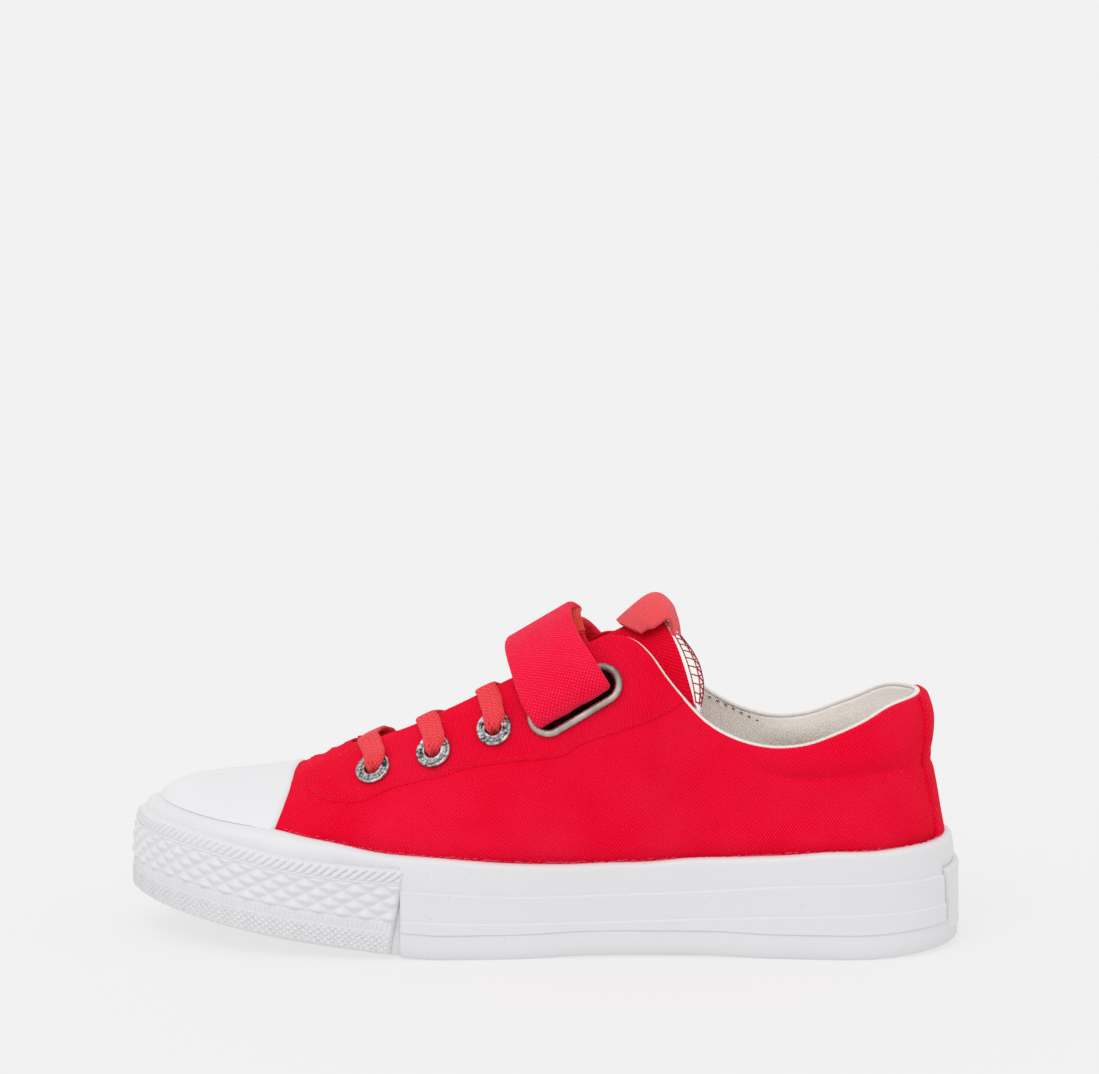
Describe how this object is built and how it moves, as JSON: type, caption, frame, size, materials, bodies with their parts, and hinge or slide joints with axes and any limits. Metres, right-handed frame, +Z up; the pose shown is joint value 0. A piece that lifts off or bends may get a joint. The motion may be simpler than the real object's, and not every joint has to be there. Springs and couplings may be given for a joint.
{
  "type": "canvas sneaker",
  "caption": "Child's low canvas sneaker for the right foot, with a rubber toe cap and bumper, elastic lace bars in metal eyelets and a wide strap through a slot ring.",
  "frame": {"origin": "centre of the bounding box in plan, on the ground the sole stands on", "axes": "+X from toe to heel, +Z up, -Y towards the medial (inner) side of the foot"},
  "size_m": [0.212, 0.078, 0.0867],
  "materials": {
    "rubber": "smooth satin, textured at the toe",
    "canvas": "plain woven cotton canvas, matt",
    "lining": "cream woven lining, matt",
    "webbing": "woven elastic and webbing, matt",
    "ring_metal": "grey satin",
    "eyelet_metal": "satin nickel"
  },
  "bodies": {
    "root": {"outsole": "rubber", "foxing": "rubber", "toe_bumper": "rubber", "heel_patch": "rubber", "toe_cap": "rubber", "insole": "lining", "upper": "canvas", "heel_strip": "canvas", "tongue": "canvas", "pull_loop": "webbing", "strap": "canvas", "slot_ring": "ring_metal", "eyelet_medial_1": "eyelet_metal", "eyelet_lateral_1": "eyelet_metal", "lace_bar_1": "webbing", "eyelet_medial_2": "eyelet_metal", "eyelet_lateral_2": "eyelet_metal", "lace_bar_2": "webbing", "eyelet_medial_3": "eyelet_metal", "eyelet_lateral_3": "eyelet_metal", "lace_bar_3": "webbing"}
  },
  "joints": []
}
